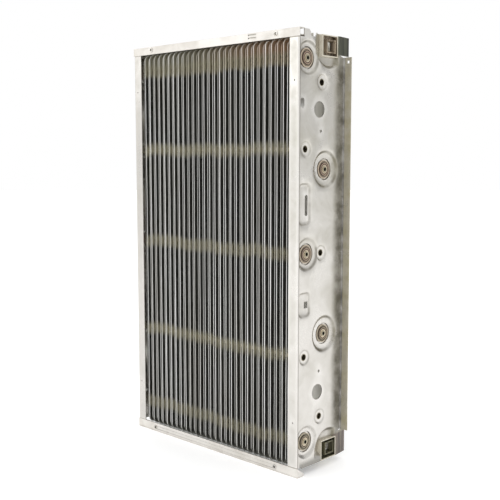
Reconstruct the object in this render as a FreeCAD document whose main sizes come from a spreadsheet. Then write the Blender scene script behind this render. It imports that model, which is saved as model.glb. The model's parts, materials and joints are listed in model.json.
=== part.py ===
import FreeCAD, Part
import math
import os
import Sketcher

# Electrostatic air cleaner cell: a stack of grounded and charged aluminium plates between two
# stamped end plates, with an ionizer frame of fine wires behind it.
#
# X runs across the cell, Y from the front face to the rear, Z up. The origin is the centre of
# the bottom of the bounding box. Inside each body Y is measured back from the front face and
# Z up from the underside, and the body's Placement brings it to the origin.

DEPTH_SHIFT = "(Size.eyelet_head_gauge - Size.cell_depth) / 2"

SIZES = [
    # overall
    ("cell_height", 525.0),
    ("end_span", 293.0),
    ("cell_depth", 96.0),
    ("sheet_gauge", 1.0),
    # end plates
    ("web_low", 9.6),
    ("web_high", 521.5),
    ("lip_low", 11.5),
    ("lip_high", 515.0),
    ("lip_width", 14.0),
    ("lip_hole_rise", 200.0),
    ("lip_hole_radius", 0.9),
    ("front_step", 9.5),
    ("base_step", 8.0),
    ("front_tab_rear", 21.0),
    ("front_tab_high", 524.5),
    ("front_tab_chamfer", 3.0),
    ("notch_high", 517.0),
    ("notch_rear", 31.0),
    ("flange_front", 82.7),
    ("flange_low", 41.7),
    ("flange_high", 497.4),
    ("flange_reach", 11.0),
    ("flange_hole_inset", 5.5),
    ("flange_hole_width", 3.2),
    ("tab_front", 75.0),
    ("tab_length", 21.2),
    ("tab_angle", 8.0),
    ("tab_relief", 2.0),
    ("dish_slope", 45.0),
    # end plate stampings
    ("mid_height", 266.4),
    ("charged_dish_radius", 20.5),
    ("rear_dish_radius", 23.0),
    ("charged_dish_depth", 4.5),
    ("dish_front_edge", 2.2),
    ("tube_dish_radius", 9.5),
    ("tube_dish_depth", 1.5),
    ("slot_dish_rear", 23.7),
    ("slot_dish_depth", 2.5),
    ("slot_dish_corner", 6.0),
    ("slot_dish_low", 300.0),
    ("slot_dish_high", 350.0),
    ("square_dish_low", 192.0),
    ("square_dish_high", 222.0),
    ("ionizer_dish_radius", 27.0),
    ("ionizer_dish_depth", 5.0),
    ("ionizer_dish_floor", 15.2),
    ("insulator_hole_radius", 6.9),
    ("drain_radius", 9.5),
    ("drain_depth_in", 37.1),
    ("drain_rise", 168.2),
    ("pilot_radius", 1.8),
    ("pilot_depth_in", 40.0),
    ("pilot_rise", 143.2),
    ("oblong_front", 3.3),
    ("oblong_rear", 10.0),
    ("oblong_low", 435.5),
    ("oblong_high", 446.7),
    ("slot_front", 14.9),
    ("slot_rear", 19.8),
    ("slot_low", 311.3),
    ("slot_high", 335.7),
    ("square_front", 14.6),
    ("square_rear", 20.9),
    ("square_low", 202.4),
    ("square_high", 210.4),
    # front rails
    ("rail_overhang", 1.0),
    ("top_rail_deep", 9.0),
    ("base_rail_deep", 12.5),
    ("base_rail_hook", 3.0),
    ("eyelet_offset", 111.0),
    ("top_eyelet_height", 520.8),
    ("base_eyelet_height", 5.8),
    ("eyelet_bore", 1.6),
    ("eyelet_barrel", 2.1),
    ("eyelet_head", 3.0),
    ("eyelet_head_gauge", 0.5),
    ("rail_slot_centre", 73.4),
    ("rail_slot_length", 13.0),
    ("rail_slot_width", 1.4),
    ("rail_slot_height", 521.0),
    ("rail_slot_gap", 3.6),
    # sheets inside the rails
    ("baffle_low", 516.6),
    ("baffle_rear", 26.0),
    ("baffle_high", 521.0),
    ("liner_play", 0.3),
    # plates
    ("plate_gauge", 0.8),
    ("plate_pitch", 9.55),
    ("ground_count", 28.0),
    ("plate_low", 8.0),
    ("plate_high", 515.8),
    ("ground_front", 4.0),
    ("charged_front", 5.8),
    ("plate_rear", 62.0),
    ("plate_corner", 8.0),
    ("plate_bevel_run", 18.0),
    ("plate_bevel_rise", 32.0),
    ("charged_inset", 2.0),
    # tie tubes
    ("charged_front_depth", 17.6),
    ("charged_front_rise", 226.0),
    ("charged_rear_depth", 50.2),
    ("charged_rear_rise", 98.8),
    ("charged_tube_radius", 3.6),
    ("charged_tube_bore", 2.3),
    ("charged_tube_inset", 1.5),
    ("ground_front_depth", 13.4),
    ("ground_front_rise", 122.2),
    ("ground_rear_depth", 42.9),
    ("ground_rear_rise", 199.7),
    ("ground_tube_radius", 4.3),
    ("ground_tube_bore", 3.7),
    ("ground_clear_radius", 10.0),
    ("charged_clear_radius", 6.9),
    ("ground_spacer_radius", 5.0),
    ("charged_spacer_radius", 5.5),
    # ring insulators and push nuts
    ("insulator_radius", 10.8),
    ("insulator_play", 0.05),
    ("push_nut_radius", 5.2),
    ("push_nut_gauge", 0.6),
    ("push_nut_seat", 2.9),
    # ionizer
    ("box_width", 29.0),
    ("box_height", 25.0),
    ("box_length", 11.0),
    ("box_wall", 1.2),
    ("box_recess", 6.0),
    ("sleeve_width", 17.0),
    ("sleeve_height", 15.6),
    ("sleeve_wall", 1.5),
    ("sleeve_inset", 1.5),
    ("sleeve_shift", 3.6),
    ("top_box_depth", 56.5),
    ("top_box_height", 508.6),
    ("base_box_depth", 60.0),
    ("base_box_height", 22.2),
    ("bar_width", 13.0),
    ("bar_height", 11.0),
    ("bar_gauge", 1.2),
    ("bar_end_inset", 8.0),
    ("wire_count", 7.0),
    ("wire_pitch", 41.5),
    ("wire_radius", 0.15),
    ("wire_depth", 81.0),
    ("wire_top", 494.0),
    ("wire_base", 37.0),
    ("arm_gauge", 0.5),
    ("arm_width", 5.0),
    ("arm_foot", 4.0),
    ("arm_tip", 2.0),
    ("strip_gauge", 1.2),
    ("strip_front", 76.0),
    ("strip_rear", 86.0),
    ("rear_rail_front", 86.0),
    ("rear_rail_rear", 94.5),
    ("rear_rail_tall", 14.0),
    ("rear_rail_end_inset", 4.6),
]

doc = FreeCAD.newDocument("air_cleaner_cell")
sheet = doc.addObject("Spreadsheet::Sheet", "Size")
nodes = []


def fill_sheet():
    for row, (alias, size) in enumerate(SIZES, start=1):
        sheet.set(f"A{row}", alias)
        sheet.set(f"B{row}", str(size))
        sheet.setAlias(f"B{row}", alias)
    doc.recompute()


def value(formula):
    """A formula on the sheet's aliases, worked out as a plain number."""
    result = sheet.evalExpression(str(formula))
    return float(getattr(result, "Value", result))


def bind(item, formulas):
    for name, formula in formulas.items():
        item.setExpression(name, formula)


# ---------------------------------------------------------------- sketches

def new_body(label, several=False, node=True):
    """A body whose Y is measured back from the front face of the cell."""
    body = doc.addObject("PartDesign::Body", label)
    body.Label = label
    body.AllowCompound = several
    bind(body, {"Placement.Base.y": DEPTH_SHIFT})
    if node:
        nodes.append(body)
    return body


def new_sketch(body, role, offset=None):
    """A sketch on one of the body's own origin planes, moved along its normal by offset."""
    plane = next(item for item in body.Origin.OriginFeatures if item.Role == role)
    sketch = body.newObject("Sketcher::SketchObject", body.Name + "_sketch")
    sketch.AttachmentSupport = [(plane, "")]
    sketch.MapMode = "FlatFace"
    if offset:
        bind(sketch, {"AttachmentOffset.Base.z": offset})
    return sketch


def pin_axis(sketch, kind, geometry, corner, formula):
    """Fix one coordinate of a point to a formula, measured from the sketch's origin."""
    size = value(formula)
    if abs(size) < 1e-9:
        axis = -2 if kind == "DistanceX" else -1
        sketch.addConstraint(Sketcher.Constraint("PointOnObject", geometry, corner, axis))
        return
    if size > 0:
        rule = Sketcher.Constraint(kind, -1, 1, geometry, corner, size)
        bound = formula
    else:
        rule = Sketcher.Constraint(kind, geometry, corner, -1, 1, -size)
        bound = f"-({formula})"
    index = sketch.addConstraint(rule)
    sketch.setExpression(f"Constraints[{index}]", bound)


def pin(sketch, geometry, corner, point):
    pin_axis(sketch, "DistanceX", geometry, corner, point[0])
    pin_axis(sketch, "DistanceY", geometry, corner, point[1])


def arc_between(start, end, radius):
    """The anticlockwise arc from start to end that is no more than half a turn."""
    chord = end.sub(start)
    half = chord.Length / 2
    rise = math.sqrt(max(radius ** 2 - half ** 2, 0.0))
    left = FreeCAD.Vector(-chord.y, chord.x, 0).normalize()
    centre = start.add(chord.multiply(0.5)).add(left.multiply(rise))
    first = math.atan2(start.y - centre.y, start.x - centre.x)
    last = math.atan2(end.y - centre.y, end.x - centre.x)
    circle = Part.Circle(centre, FreeCAD.Vector(0, 0, 1), radius)
    return Part.ArcOfCircle(circle, first, last)


def outline(sketch, corners):
    """A closed outline, anticlockwise. A third entry is the radius of the arc that follows."""
    spots = [FreeCAD.Vector(value(c[0]), value(c[1]), 0) for c in corners]
    edges = []
    for index, corner in enumerate(corners):
        start = spots[index]
        end = spots[(index + 1) % len(spots)]
        if len(corner) > 2:
            edge = arc_between(FreeCAD.Vector(start), FreeCAD.Vector(end), value(corner[2]))
        else:
            edge = Part.LineSegment(start, end)
        edges.append(sketch.addGeometry(edge, False))
    for index, edge in enumerate(edges):
        following = edges[(index + 1) % len(edges)]
        sketch.addConstraint(Sketcher.Constraint("Coincident", edge, 2, following, 1))
    for edge, corner in zip(edges, corners):
        pin(sketch, edge, 1, corner)
        if len(corner) > 2:
            rule = Sketcher.Constraint("Radius", edge, value(corner[2]))
            index = sketch.addConstraint(rule)
            sketch.setExpression(f"Constraints[{index}]", corner[2])


def rectangle(sketch, left, low, right, high):
    outline(sketch, [(left, low), (right, low), (right, high), (left, high)])


def round_rectangle(sketch, left, low, right, high, radius):
    outline(sketch, [
        (f"{left} + {radius}", low),
        (f"{right} - {radius}", low, radius),
        (right, f"{low} + {radius}"),
        (right, f"{high} - {radius}", radius),
        (f"{right} - {radius}", high),
        (f"{left} + {radius}", high, radius),
        (left, f"{high} - {radius}"),
        (left, f"{low} + {radius}", radius),
    ])


def circle(sketch, centre, radius):
    spot = FreeCAD.Vector(value(centre[0]), value(centre[1]), 0)
    shape = Part.Circle(spot, FreeCAD.Vector(0, 0, 1), value(radius))
    edge = sketch.addGeometry(shape, False)
    index = sketch.addConstraint(Sketcher.Constraint("Radius", edge, value(radius)))
    sketch.setExpression(f"Constraints[{index}]", radius)
    pin(sketch, edge, 3, centre)


# ---------------------------------------------------------------- features

def pad(body, sketch, length, reversed_=False, midplane=False, slope=None):
    feature = body.newObject("PartDesign::Pad", body.Name + "_pad")
    feature.Profile = sketch
    bind(feature, {"Length": length})
    feature.Reversed = reversed_
    feature.Midplane = midplane
    if slope:
        bind(feature, {"TaperAngle": slope})
    return feature


def pocket(body, sketch, length=None, reversed_=False, midplane=False, slope=None):
    """A pocket that has to take material away: its direction is tested by the volume."""
    doc.recompute()
    before = body.Shape.Volume
    feature = body.newObject("PartDesign::Pocket", body.Name + "_pocket")
    feature.Profile = sketch
    if length:
        bind(feature, {"Length": length})
    else:
        feature.Type = "ThroughAll"
    feature.Reversed = reversed_
    feature.Midplane = midplane
    if slope:
        bind(feature, {"TaperAngle": slope})
    doc.recompute()
    if not body.Shape.Volume < before:
        raise RuntimeError(f"{feature.Name} takes nothing away from {body.Label}")
    return feature


def revolve(body, sketch):
    feature = body.newObject("PartDesign::Revolution", body.Name + "_turned")
    feature.Profile = sketch
    feature.ReferenceAxis = (sketch, ["H_Axis"])
    feature.Angle = 360
    return feature


def repeat_across(body, originals, pitch, count):
    """Equal copies of the originals, spread along X."""
    axis = next(item for item in body.Origin.OriginFeatures if item.Role == "X_Axis")
    pattern = body.newObject("PartDesign::LinearPattern", body.Name + "_row")
    pattern.Originals = originals
    pattern.Direction = (axis, [""])
    bind(pattern, {"Length": f"{pitch} * ({count} - 1)", "Occurrences": count})
    body.Tip = pattern
    return pattern


def mirror(source, label):
    """The same piece on the other side of the cell."""
    copy = doc.addObject("Part::Mirroring", label)
    copy.Label = label
    copy.Source = source
    copy.Normal = (1, 0, 0)
    copy.Base = (0, 0, 0)
    nodes.append(copy)
    return copy


# ---------------------------------------------------------------- where the tie tubes run

CHARGED_SPOTS = {
    "front_top": ("Size.charged_front_depth", "Size.mid_height + Size.charged_front_rise"),
    "front_middle": ("Size.charged_front_depth", "Size.mid_height"),
    "front_bottom": ("Size.charged_front_depth", "Size.mid_height - Size.charged_front_rise"),
    "rear_upper": ("Size.charged_rear_depth", "Size.mid_height + Size.charged_rear_rise"),
    "rear_lower": ("Size.charged_rear_depth", "Size.mid_height - Size.charged_rear_rise"),
}
GROUND_SPOTS = {
    "rear_top": ("Size.ground_rear_depth", "Size.mid_height + Size.ground_rear_rise"),
    "rear_middle": ("Size.ground_rear_depth", "Size.mid_height"),
    "rear_bottom": ("Size.ground_rear_depth", "Size.mid_height - Size.ground_rear_rise"),
    "front_upper": ("Size.ground_front_depth", "Size.mid_height + Size.ground_front_rise"),
    "front_lower": ("Size.ground_front_depth", "Size.mid_height - Size.ground_front_rise"),
}


# ---------------------------------------------------------------- end plates

def web_outline(sketch):
    outline(sketch, [
        ("0", "Size.lip_low"),
        ("Size.base_step", "Size.lip_low"),
        ("Size.base_step + 1", "Size.web_low"),
        ("Size.tab_front", "Size.web_low"),
        ("Size.tab_front", "Size.flange_low - Size.tab_relief"),
        ("Size.flange_front + Size.sheet_gauge", "Size.flange_low"),
        ("Size.flange_front + Size.sheet_gauge", "Size.flange_high"),
        ("Size.tab_front", "Size.flange_high + Size.tab_relief"),
        ("Size.tab_front", "Size.web_high"),
        ("Size.notch_rear", "Size.web_high"),
        ("Size.notch_rear", "Size.notch_high"),
        ("Size.front_tab_rear", "Size.notch_high"),
        ("Size.front_tab_rear", "Size.front_tab_high - Size.front_tab_chamfer"),
        ("Size.front_tab_rear - Size.front_tab_chamfer", "Size.front_tab_high"),
        ("Size.front_step", "Size.front_tab_high"),
        ("Size.front_step", "Size.lip_high"),
        ("0", "Size.lip_high"),
    ])


def bent_tab(body, low, high):
    """A flat tab behind the web, bent inwards as a lead-in."""
    sketch = new_sketch(body, "XY_Plane", low)
    reach = "Size.tab_length * cos(Size.tab_angle)"
    swing = "Size.tab_length * sin(Size.tab_angle)"
    outline(sketch, [
        ("0", "Size.tab_front"),
        (f"-{swing}", f"Size.tab_front + {reach}"),
        (f"-{swing} - Size.sheet_gauge", f"Size.tab_front + {reach}"),
        ("-Size.sheet_gauge", "Size.tab_front"),
    ])
    pad(body, sketch, f"{high} - ({low})")


def clipped_dish(sketch, spot, radius, front):
    """A round dish whose front is cut straight where it meets the front lip."""
    depth, height = spot
    rise = f"sqrt(({radius})^2 - ({depth} - {front})^2)"
    near = f"{depth} + ({radius})"
    outline(sketch, [
        (front, f"{height} - {rise}"),
        (depth, f"{height} - ({radius})", radius),
        (near, height, radius),
        (depth, f"{height} + ({radius})"),
        (front, f"{height} + {rise}"),
    ])


def charged_dishes(sketch, grow, front):
    for name, spot in CHARGED_SPOTS.items():
        if name.startswith("front"):
            clipped_dish(sketch, spot, f"Size.charged_dish_radius + {grow}", front)
        else:
            circle(sketch, spot, f"Size.rear_dish_radius + {grow}")


def tube_dishes(sketch, grow, _front):
    for spot in GROUND_SPOTS.values():
        circle(sketch, spot, f"Size.tube_dish_radius + {grow}")


def slot_dishes(sketch, grow, front):
    for name in ("slot", "square"):
        low = f"Size.{name}_dish_low - {grow}"
        high = f"Size.{name}_dish_high + {grow}"
        rear = f"Size.slot_dish_rear + {grow}"
        round_rectangle(sketch, front, low, rear, high, "Size.slot_dish_corner")


def ionizer_dishes(sketch, grow, _front):
    radius = f"(Size.ionizer_dish_radius + {grow})"
    rear = f"(Size.tab_front - 1.5 + {grow})"
    floor = f"(Size.ionizer_dish_floor - {grow})"
    crown = f"(Size.web_high + 8 - 8 * {grow})"
    low_depth = "Size.base_box_depth"
    low_height = "Size.base_box_height"
    outline(sketch, [
        (f"{low_depth} - sqrt({radius}^2 - ({low_height} - {floor})^2)", floor),
        (rear, floor),
        (rear, f"{low_height} + sqrt({radius}^2 - ({rear} - {low_depth})^2)", radius),
    ])
    top_depth = "Size.top_box_depth"
    top_height = "Size.top_box_height"
    outline(sketch, [
        (f"{top_depth} - sqrt({radius}^2 - ({crown} - {top_height})^2)", crown, radius),
        (rear, f"{top_height} - sqrt({radius}^2 - ({rear} - {top_depth})^2)"),
        (rear, crown),
    ])


STAMPINGS = [
    (charged_dishes, "Size.charged_dish_depth"),
    (tube_dishes, "Size.tube_dish_depth"),
    (slot_dishes, "Size.slot_dish_depth"),
    (ionizer_dishes, "Size.ionizer_dish_depth"),
]


def end_plate_right():
    body = new_body("end_plate_right")
    bind(body, {"Placement.Base.x": "Size.end_span / 2"})
    web = new_sketch(body, "YZ_Plane")
    web_outline(web)
    pad(body, web, "Size.sheet_gauge", reversed_=True)

    lip = new_sketch(body, "XZ_Plane")
    rectangle(lip, "-Size.lip_width", "Size.lip_low", "0", "Size.lip_high")
    pad(body, lip, "Size.sheet_gauge", reversed_=True)

    flange = new_sketch(body, "XZ_Plane", "-Size.flange_front")
    rectangle(flange, "-Size.sheet_gauge", "Size.flange_low", "Size.flange_reach", "Size.flange_high")
    pad(body, flange, "Size.sheet_gauge", reversed_=True)

    bent_tab(body, "Size.web_low", "Size.flange_low - Size.tab_relief")
    bent_tab(body, "Size.flange_high + Size.tab_relief", "Size.web_high")
    doc.recompute()

    for draw, depth in STAMPINGS:
        swell = new_sketch(body, "YZ_Plane")
        draw(swell, "1.0", "Size.dish_front_edge - 1.0")
        pad(body, swell, f"{depth} + Size.sheet_gauge", reversed_=True, slope="-Size.dish_slope")
    doc.recompute()
    for draw, depth in STAMPINGS:
        hollow = new_sketch(body, "YZ_Plane")
        draw(hollow, "0.0", "Size.dish_front_edge")
        pocket(body, hollow, depth, slope="-Size.dish_slope")

    pocket(body, web_holes(body), "2 * Size.cell_depth", midplane=True)
    pocket(body, lip_holes(body), "3 * Size.sheet_gauge", midplane=True)
    pocket(body, flange_hole(body), "3 * Size.sheet_gauge", midplane=True)
    return body


def web_holes(body):
    sketch = new_sketch(body, "YZ_Plane")
    for spot in CHARGED_SPOTS.values():
        circle(sketch, spot, "Size.insulator_hole_radius")
    for spot in GROUND_SPOTS.values():
        circle(sketch, spot, "Size.ground_tube_radius")
    for sign in "+-":
        drain = ("Size.drain_depth_in", f"Size.mid_height {sign} Size.drain_rise")
        circle(sketch, drain, "Size.drain_radius")
        pilot = ("Size.pilot_depth_in", f"Size.mid_height {sign} Size.pilot_rise")
        circle(sketch, pilot, "Size.pilot_radius")
    round_rectangle(sketch, "Size.oblong_front", "Size.oblong_low", "Size.oblong_rear",
                    "Size.oblong_high", "Size.sheet_gauge * 2.5")
    rectangle(sketch, "Size.slot_front", "Size.slot_low", "Size.slot_rear", "Size.slot_high")
    rectangle(sketch, "Size.square_front", "Size.square_low", "Size.square_rear", "Size.square_high")
    for place in ("top", "base"):
        rectangle(sketch, *box_sides(place, "Size.box_width", "Size.box_height"))
    return sketch


def lip_holes(body):
    sketch = new_sketch(body, "XZ_Plane")
    for sign in "+-":
        spot = ("-Size.lip_width / 2", f"Size.mid_height {sign} Size.lip_hole_rise")
        circle(sketch, spot, "Size.lip_hole_radius")
    return sketch


def flange_hole(body):
    sketch = new_sketch(body, "XZ_Plane", "-Size.flange_front")
    half = "Size.flange_hole_width / 2"
    across = "Size.flange_reach / 2 + 1"
    height = "Size.flange_high - Size.flange_hole_inset"
    rectangle(sketch, f"{across} - {half}", f"{height} - {half}", f"{across} + {half}",
              f"{height} + {half}")
    return sketch


# ---------------------------------------------------------------- front rails

def across_pad(body, sketch, length):
    pad(body, sketch, length, midplane=True)
    doc.recompute()


def top_rail():
    body = new_body("top_rail")
    inner = "Size.sheet_gauge"
    sketch = new_sketch(body, "YZ_Plane")
    outline(sketch, [
        ("0", "Size.lip_high"),
        (inner, "Size.lip_high"),
        (inner, f"Size.cell_height - {inner}"),
        ("Size.top_rail_deep", f"Size.cell_height - {inner}"),
        ("Size.top_rail_deep", "Size.cell_height"),
        ("0", "Size.cell_height"),
    ])
    across_pad(body, sketch, "Size.end_span + 2 * Size.rail_overhang")
    holes = new_sketch(body, "XZ_Plane")
    for sign in "+-":
        circle(holes, (f"{sign}Size.eyelet_offset", "Size.top_eyelet_height"), "Size.eyelet_barrel")
        centre = f"(Size.rail_slot_height {sign} Size.rail_slot_gap / 2)"
        half = "Size.rail_slot_width / 2"
        rectangle(holes, "Size.rail_slot_centre - Size.rail_slot_length / 2", f"{centre} - {half}",
                  "Size.rail_slot_centre + Size.rail_slot_length / 2", f"{centre} + {half}")
    pocket(body, holes, "3 * Size.sheet_gauge", midplane=True)


def bottom_rail():
    body = new_body("bottom_rail")
    inner = "Size.sheet_gauge"
    sketch = new_sketch(body, "YZ_Plane")
    outline(sketch, [
        ("0", "0"),
        ("Size.base_rail_deep", "0"),
        ("Size.base_rail_deep", "Size.base_rail_hook"),
        (f"Size.base_rail_deep - {inner}", "Size.base_rail_hook"),
        (f"Size.base_rail_deep - {inner}", inner),
        (inner, inner),
        (inner, "Size.lip_low"),
        ("0", "Size.lip_low"),
    ])
    across_pad(body, sketch, "Size.end_span + 2 * Size.rail_overhang")
    for sign in "+-":
        cap = new_sketch(body, "YZ_Plane", f"{sign}Size.end_span / 2")
        outline(cap, [
            ("0", "0"),
            ("Size.base_rail_deep", "0"),
            ("Size.base_rail_deep", "Size.base_rail_hook"),
            (inner, "Size.lip_low"),
            ("0", "Size.lip_low"),
        ])
        pad(body, cap, "Size.rail_overhang", reversed_=sign == "-")
    rail_holes(body, "Size.base_eyelet_height", "3 * Size.sheet_gauge")


def rail_holes(body, height, reach):
    """The two holes that the eyelets pass through."""
    holes = new_sketch(body, "XZ_Plane")
    for sign in "+-":
        circle(holes, (f"{sign}Size.eyelet_offset", height), "Size.eyelet_barrel")
    pocket(body, holes, reach, midplane=True)


def top_baffle():
    """A sheet inside the top rail that keeps air from passing above the plates."""
    gauge = "Size.sheet_gauge"
    rail_liner("top_baffle", "Size.top_eyelet_height", [
        (gauge, "Size.baffle_low"),
        (f"Size.baffle_rear + {gauge}", "Size.baffle_low"),
        (f"Size.baffle_rear + {gauge}", "Size.baffle_high"),
        ("Size.baffle_rear", "Size.baffle_high"),
        ("Size.baffle_rear", f"Size.baffle_low + {gauge}"),
        (f"2 * {gauge}", f"Size.baffle_low + {gauge}"),
        (f"2 * {gauge}", f"Size.cell_height - {gauge}"),
        (gauge, f"Size.cell_height - {gauge}"),
    ])


def bottom_liner():
    """An angle that stiffens the bottom rail from inside."""
    gauge = "Size.sheet_gauge"
    rail_liner("bottom_rail_liner", "Size.base_eyelet_height", [
        (gauge, gauge),
        (f"Size.base_rail_deep - {gauge}", gauge),
        (f"Size.base_rail_deep - {gauge}", f"2 * {gauge}"),
        (f"2 * {gauge}", f"2 * {gauge}"),
        (f"2 * {gauge}", "Size.lip_low"),
        (gauge, "Size.lip_low"),
    ])


def rail_liner(label, eyelet_height, corners):
    body = new_body(label)
    outline_sketch = new_sketch(body, "YZ_Plane")
    outline(outline_sketch, corners)
    across_pad(body, outline_sketch,
               "Size.end_span - 2 * Size.sheet_gauge - 2 * Size.liner_play")
    rail_holes(body, eyelet_height, "6 * Size.sheet_gauge")


def rail_eyelets(label, height):
    """Hollow rivets that clamp a liner to its rail."""
    body = new_body(label, several=True)
    barrel = new_sketch(body, "XZ_Plane")
    head = new_sketch(body, "XZ_Plane")
    tail = new_sketch(body, "XZ_Plane", "-2 * Size.sheet_gauge")
    for sign in "+-":
        spot = (f"{sign}Size.eyelet_offset", height)
        circle(barrel, spot, "Size.eyelet_bore")
        circle(barrel, spot, "Size.eyelet_barrel")
        for ring in (head, tail):
            circle(ring, spot, "Size.eyelet_bore")
            circle(ring, spot, "Size.eyelet_head")
    pad(body, barrel, "2 * Size.sheet_gauge", reversed_=True)
    pad(body, head, "Size.eyelet_head_gauge")
    pad(body, tail, "Size.eyelet_head_gauge", reversed_=True)


# ---------------------------------------------------------------- collector plates

def plate_outline(sketch, front, low, high):
    corner = "Size.plate_corner"
    run = "Size.plate_bevel_run"
    rise = "Size.plate_bevel_rise"
    outline(sketch, [
        (f"{front} + {corner}", low),
        (f"Size.plate_rear - {run}", low),
        ("Size.plate_rear", f"{low} + {rise}"),
        ("Size.plate_rear", f"{high} - {rise}"),
        (f"Size.plate_rear - {run}", high),
        (f"{front} + {corner}", high, corner),
        (front, f"{high} - {corner}"),
        (front, f"{low} + {corner}", corner),
    ])


def plate_stack(label, front, inset, held, held_radius, missed, missed_radius, count):
    """Equal plates across the cell, on the tubes that hold them and clear of the other tubes."""
    body = new_body(label, several=True)
    bind(body, {"Placement.Base.x": f"-Size.plate_pitch * ({count} - 1) / 2"})
    sheet_sketch = new_sketch(body, "YZ_Plane")
    plate_outline(sheet_sketch, front, f"Size.plate_low + {inset}", f"Size.plate_high - {inset}")
    for spot in held.values():
        circle(sheet_sketch, spot, held_radius)
    for spot in missed.values():
        circle(sheet_sketch, spot, missed_radius)
    blank = pad(body, sheet_sketch, "Size.plate_gauge", midplane=True)
    doc.recompute()
    repeat_across(body, [blank], "Size.plate_pitch", count)
    doc.recompute()


def rings(sketch, spots, bore, radius):
    for spot in spots.values():
        circle(sketch, spot, bore)
        circle(sketch, spot, radius)


def spacers(label, spots, bore, radius, gaps):
    """Rings on the tubes that keep plates of one kind a pitch apart."""
    body = new_body(label, several=True)
    bind(body, {"Placement.Base.x": f"-Size.plate_pitch * ({gaps} - 1) / 2"})
    sketch = new_sketch(body, "YZ_Plane")
    rings(sketch, spots, bore, radius)
    row = pad(body, sketch, "Size.plate_pitch - Size.plate_gauge", midplane=True)
    doc.recompute()
    repeat_across(body, [row], "Size.plate_pitch", gaps)
    doc.recompute()


def end_spacers_right():
    """Rings from the last grounded plate to the floors of the end plate's tube dishes."""
    body = new_body("ground_end_spacers_right", several=True)
    last_face = "Size.plate_pitch * (Size.ground_count - 1) / 2 + Size.plate_gauge / 2"
    dish_back = "Size.end_span / 2 - Size.tube_dish_depth - Size.sheet_gauge"
    sketch = new_sketch(body, "YZ_Plane", last_face)
    rings(sketch, GROUND_SPOTS, "Size.ground_tube_radius", "Size.ground_spacer_radius")
    pad(body, sketch, f"{dish_back} - ({last_face})")
    return body


def tie_tube(label, spot, radius, bore, length):
    body = new_body(label)
    sketch = new_sketch(body, "YZ_Plane")
    circle(sketch, spot, radius)
    circle(sketch, spot, bore)
    pad(body, sketch, length, midplane=True)


# ---------------------------------------------------------------- ring insulators

def ring_insulator(label, spot, side):
    """A ribbed ring in the floor of a dish, with a skirt inwards to the last charged plate."""
    body = new_body(label)
    bind(body, {
        "Placement.Base.x": f"{side} * Size.end_span / 2",
        "Placement.Base.y": f"{spot[0]} + {DEPTH_SHIFT}",
        "Placement.Base.z": spot[1],
    })
    if side < 0:
        body.Placement.Rotation = FreeCAD.Rotation(FreeCAD.Vector(0, 0, 1), 180)
    floor = "-Size.charged_dish_depth"
    skirt_end = ("Size.plate_pitch * Size.ground_count / 2 + Size.plate_gauge / 2"
                 " - Size.end_span / 2")
    bore = "Size.charged_tube_radius + Size.insulator_play"
    neck = "Size.insulator_hole_radius - 2 * Size.insulator_play"
    sketch = new_sketch(body, "XY_Plane")
    outline(sketch, [
        (skirt_end, bore),
        ("-Size.push_nut_seat", bore),
        ("-Size.push_nut_seat", "Size.insulator_radius * 0.54"),
        (f"{floor} + 2.2", "Size.insulator_radius * 0.56"),
        (f"{floor} + 2.2", "Size.insulator_radius * 0.68"),
        (f"{floor} + 0.6", "Size.insulator_radius * 0.71"),
        (f"{floor} + 0.6", "Size.insulator_radius * 0.84"),
        (f"{floor} + 1.2", "Size.insulator_radius * 0.87"),
        (f"{floor} + 1.2", "Size.insulator_radius"),
        (floor, "Size.insulator_radius"),
        (floor, neck),
        (skirt_end, neck),
    ])
    revolve(body, sketch)


def push_nuts_right():
    """Toothed washers pressed on the ends of the charged tubes."""
    body = new_body("push_nuts_right", several=True)
    bind(body, {"Placement.Base.x": "Size.end_span / 2"})
    sketch = new_sketch(body, "YZ_Plane", "-Size.push_nut_seat")
    for spot in CHARGED_SPOTS.values():
        circle(sketch, spot, "Size.push_nut_radius")
        circle(sketch, spot, "Size.charged_tube_radius")
    pad(body, sketch, "Size.push_nut_gauge")
    return body


# ---------------------------------------------------------------- ionizer

def box_sides(place, width, height, shift="0"):
    """Left, low, right and high of a rectangle about an ionizer insulator's centre."""
    depth = f"Size.{place}_box_depth + {shift}"
    centre = f"Size.{place}_box_height"
    return (f"{depth} - ({width}) / 2", f"{centre} - ({height}) / 2",
            f"{depth} + ({width}) / 2", f"{centre} + ({height}) / 2")


def ionizer_insulator(place, label):
    """A square moulding in the end plate, with a sleeve inside it for the bar's end."""
    body = new_body(label)
    bind(body, {"Placement.Base.x": "Size.end_span / 2"})
    block = new_sketch(body, "YZ_Plane")
    rectangle(block, *box_sides(place, "Size.box_width - 2 * Size.insulator_play",
                                "Size.box_height - 2 * Size.insulator_play"))
    pad(body, block, "Size.box_length", reversed_=True)
    recess = new_sketch(body, "YZ_Plane")
    rectangle(recess, *box_sides(place, "Size.box_width - 2 * Size.box_wall",
                                 "Size.box_height - 2 * Size.box_wall"))
    pocket(body, recess, "Size.box_recess")
    sleeve = new_sketch(body, "YZ_Plane", "-Size.box_recess")
    rectangle(sleeve, *box_sides(place, "Size.sleeve_width", "Size.sleeve_height",
                                 "Size.sleeve_shift"))
    pad(body, sleeve, "Size.box_recess - Size.sleeve_inset")
    seat = new_sketch(body, "YZ_Plane")
    rectangle(seat, *box_sides(place, "Size.sleeve_width - 2 * Size.sleeve_wall",
                               "Size.sleeve_height - 2 * Size.sleeve_wall", "Size.sleeve_shift"))
    pocket(body, seat, "2 * Size.box_length", midplane=True)
    doc.recompute()
    return body


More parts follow.
